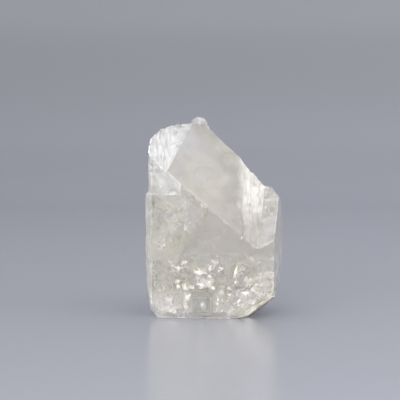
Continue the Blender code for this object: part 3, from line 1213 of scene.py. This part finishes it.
def veil_material():
    """A sheet of droplets: clear between them, olive to white, and a darker brownish in the zone of painted
    shade.
    """
    material, tree, shader = new_material("healed_veil")
    place = millimetres(tree)
    zone_shade = attribute(tree, "zone_shade")
    foot = attribute(tree, "foot")
    patched = remap(tree, grain(tree, place, 0.4, 3.0), 0.36, 0.60)
    # The foot attribute whitens the veils; in the lower right corner that whitening is painted light.
    white = math_node(tree, "ADD", patched, foot, clamp=True)
    tone = blend(tree, white, OLIVE_VEIL, WHITE_VEIL)
    feed(shader, "Base Color", blend(tree, zone_shade, tone, PAINTED_SHADE_TONE))
    feed(shader, "Alpha", veil_cover(tree, place, zone_shade, foot))
    shader.inputs["Roughness"].default_value = 0.5
    return material


def fluid_material():
    material, tree, shader = new_material("sealed_fluid")
    clear = math_node(tree, "MULTIPLY_ADD", attribute(tree, "rim"), -RIM_CLOUDING, FLUID_CLEARNESS)
    feed(shader, "Transmission Weight", clear)
    shader.inputs["Base Color"].default_value = (0.95, 0.98, 0.965, 1.0)
    shader.inputs["Roughness"].default_value = 0.02
    shader.inputs["IOR"].default_value = FLUID_IOR
    return material


# The bubble is a glossy white ball: its white is painted light, standing in for the light a gas bubble throws
# back.
def bubble_material():
    material, tree, shader = new_material("gas_bubble")
    roughness = math_node(tree, "MULTIPLY_ADD", grain(tree, millimetres(tree), 2.0), 0.2, 0.05)
    feed(shader, "Roughness", roughness)
    shader.inputs["Base Color"].default_value = (0.98, 0.98, 0.97, 1.0)
    shader.inputs["Metallic"].default_value = 0.3
    return material


def inclusion_material():
    material, tree, shader = new_material("dark_mineral")
    tone = blend(tree, grain(tree, millimetres(tree), 6.0), DARK_MINERAL, BROWN_MINERAL)
    feed(shader, "Base Color", tone)
    shader.inputs["Roughness"].default_value = 0.5
    return material


def painted_wall_shade(tree, height):
    """The backdrop's painted shading by its height."""
    ramp = add(tree, "ShaderNodeValToRGB")
    stops = ramp.color_ramp.elements
    for share, shade in PAINTED_WALL_SHADES:
        stops.new(share).color = (shade, shade, shade, 1.0)
    # A new ramp comes with a stop at either end.
    stops.remove(stops[0])
    stops.remove(stops[len(stops) - 1])
    feed(ramp, "Fac", remap(tree, height, 0.0, WALL_SPAN))
    return ramp.outputs["Color"]


def stage_material():
    """A plain grey with painted shading: a little lighter near the camera, to the right and where the floor
    meets the wall.
    """
    material, tree, shader = new_material("pale_floor")
    split = add(tree, "ShaderNodeSeparateXYZ")
    feed(split, "Vector", millimetres(tree))
    near = remap(tree, split.outputs["Y"], *PAINTED_DEPTH_SHADES)
    side = remap(tree, split.outputs["X"], *PAINTED_SIDE_SHADES)
    level = math_node(tree, "MULTIPLY", near, painted_wall_shade(tree, split.outputs["Z"]))
    tone = add(tree, "ShaderNodeVectorMath", operation="SCALE")
    feed(tone, 0, STAGE_COLOUR)
    feed(tone, "Scale", math_node(tree, "MULTIPLY", level, side))
    feed(shader, "Base Color", tone.outputs["Vector"])
    shader.inputs["Roughness"].default_value = 0.22
    shader.inputs["IOR"].default_value = STAGE_IOR
    return material


# The studio


def outline(shape):
    """The sweep's outline on its left-hand side: floor, curve and wall."""
    start = shape.verts.new((-SWEEP_HALF, SWEEP_FRONT, 0.0))
    end = shape.verts.new((-SWEEP_HALF, SWEEP_BACK, 0.0))
    shape.edges.new((start, end))
    arc = bmesh.ops.spin(
        shape,
        geom=[end],
        cent=Vector((-SWEEP_HALF, SWEEP_BACK, SWEEP_RADIUS)),
        axis=Vector((1.0, 0.0, 0.0)),
        angle=math.radians(90.0),
        steps=SWEEP_STEPS,
    )
    last = [item for item in arc["geom_last"] if isinstance(item, bmesh.types.BMVert)][0]
    wall = shape.verts.new(last.co + Vector((0.0, 0.0, SWEEP_WALL)))
    shape.edges.new((last, wall))


def sweep():
    """A pale floor that curves up into a wall behind the crystal."""
    shape = bmesh.new()
    outline(shape)
    made = bmesh.ops.extrude_edge_only(shape, edges=shape.edges[:])
    across = [item for item in made["geom"] if isinstance(item, bmesh.types.BMVert)]
    bmesh.ops.translate(shape, vec=Vector((2.0 * SWEEP_HALF, 0.0, 0.0)), verts=across)
    bmesh.ops.recalc_face_normals(shape, faces=shape.faces[:])
    mesh = mesh_from(shape, "studio_sweep")
    mesh.materials.append(stage_material())
    mesh.shade_smooth()
    floor = add_object("studio_sweep", mesh)


def softbox(name, place, width, depth, power, colour):
    light = bpy.data.lights.new(name, "AREA")
    light.shape = "RECTANGLE"
    light.size = width * MM
    light.size_y = depth * MM
    light.energy = power
    light.color = colour
    lamp = add_object(name, light)
    lamp.location = Vector(place) * MM
    lamp.rotation_euler = (LIT_MIDDLE - Vector(place)).to_track_quat("-Z", "Y").to_euler()


def studio():
    """The lights and the backdrop, with enough bounces for light to find its way out of the crystal."""
    scene = bpy.context.scene
    scene.view_settings.view_transform = "Standard"
    scene.cycles.max_bounces = 64
    scene.cycles.transmission_bounces = 64
    scene.cycles.diffuse_bounces = 40
    scene.cycles.glossy_bounces = 64
    scene.cycles.transparent_max_bounces = 32
    world = bpy.data.worlds.new("studio")
    scene.world = world
    world.use_nodes = True
    world.node_tree.nodes["Background"].inputs["Color"].default_value = (0.78, 0.78, 0.80, 1.0)
    for name, settings in SOFTBOXES.items():
        softbox(name, *settings)
    sweep()


def camera():
    lens = bpy.data.cameras.new("camera")
    lens.lens = CAMERA_LENS
    lens.sensor_width = 36.0
    lens.clip_start = 0.01
    view = add_object("camera", lens)
    outward = direction(CAMERA_BEARING, CAMERA_RISE)
    view.location = (CAMERA_TARGET + outward * CAMERA_DISTANCE) * MM
    view.rotation_euler = (-outward).to_track_quat("-Z", "Y").to_euler()
    bpy.context.scene.camera = view


camera()
studio()
planes = crystal_piece(topaz_material())
bright_cracks(planes, crack_material())
glints(planes, crack_material())
cleavage_cracks(planes, cleavage_material())
veils(planes, veil_material())
fluid_hollow(fluid_material())
gas_bubble(bubble_material())
dark_inclusion(inclusion_material())
